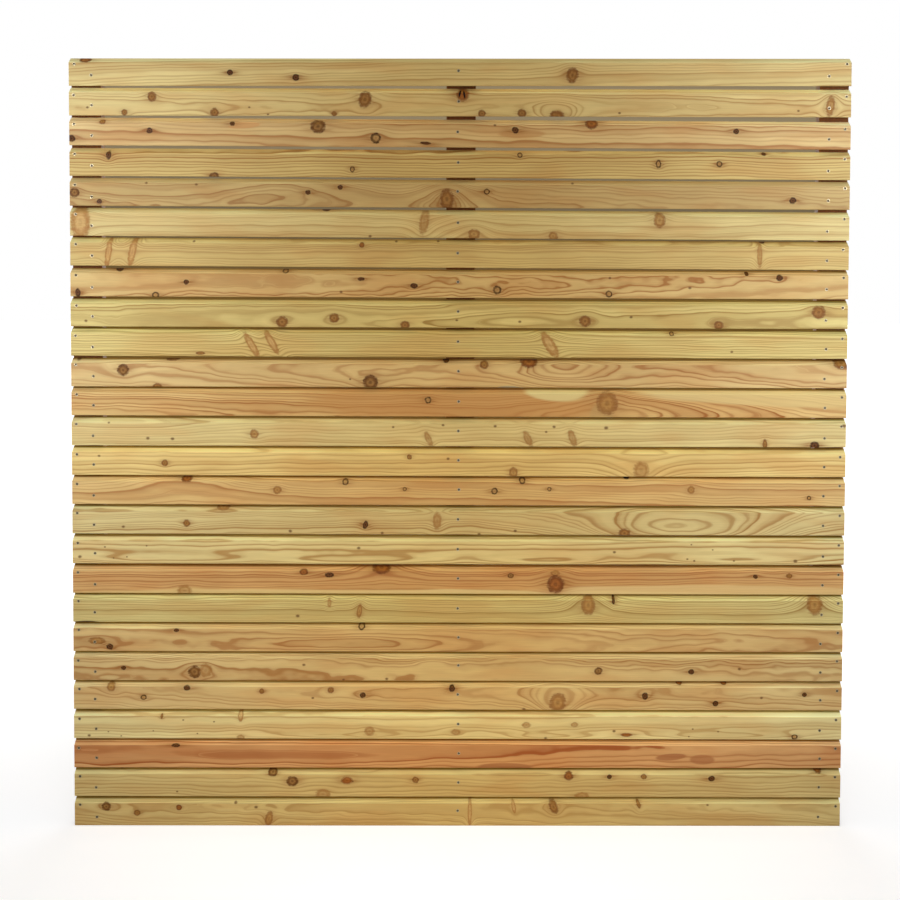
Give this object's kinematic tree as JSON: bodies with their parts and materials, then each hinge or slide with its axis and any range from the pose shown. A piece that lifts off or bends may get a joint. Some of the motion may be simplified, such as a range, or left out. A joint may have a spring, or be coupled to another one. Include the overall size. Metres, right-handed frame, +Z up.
{
  "type": "rhombus slat fence panel",
  "caption": "Square garden fence panel of horizontal softwood slats with a rhombus section, laid with narrow gaps on three upright battens.",
  "frame": {"origin": "middle of the middle batten's back face, at half the panel's height", "axes": "+X along the slats to the right as seen from the front, +Y out of the battens' back faces, +Z up; the slats' front faces look along -Y"},
  "size_m": [1.8005, 0.072, 1.8002],
  "materials": {
    "slat_wood": "planed, untreated, eased edges",
    "batten_wood": "planed, untreated",
    "screw_steel": "stainless, dull"
  },
  "bodies": {
    "root": {"slat_01": "slat_wood", "slat_02": "slat_wood", "slat_03": "slat_wood", "slat_04": "slat_wood", "slat_05": "slat_wood", "slat_06": "slat_wood", "slat_07": "slat_wood", "slat_08": "slat_wood", "slat_09": "slat_wood", "slat_10": "slat_wood", "slat_11": "slat_wood", "slat_12": "slat_wood", "slat_13": "slat_wood", "slat_14": "slat_wood", "slat_15": "slat_wood", "slat_16": "slat_wood", "slat_17": "slat_wood", "slat_18": "slat_wood", "slat_19": "slat_wood", "slat_20": "slat_wood", "slat_21": "slat_wood", "slat_22": "slat_wood", "slat_23": "slat_wood", "slat_24": "slat_wood", "slat_25": "slat_wood", "slat_26": "slat_wood", "batten_left": "batten_wood", "batten_centre": "batten_wood", "batten_right": "batten_wood"}
  },
  "joints": []
}
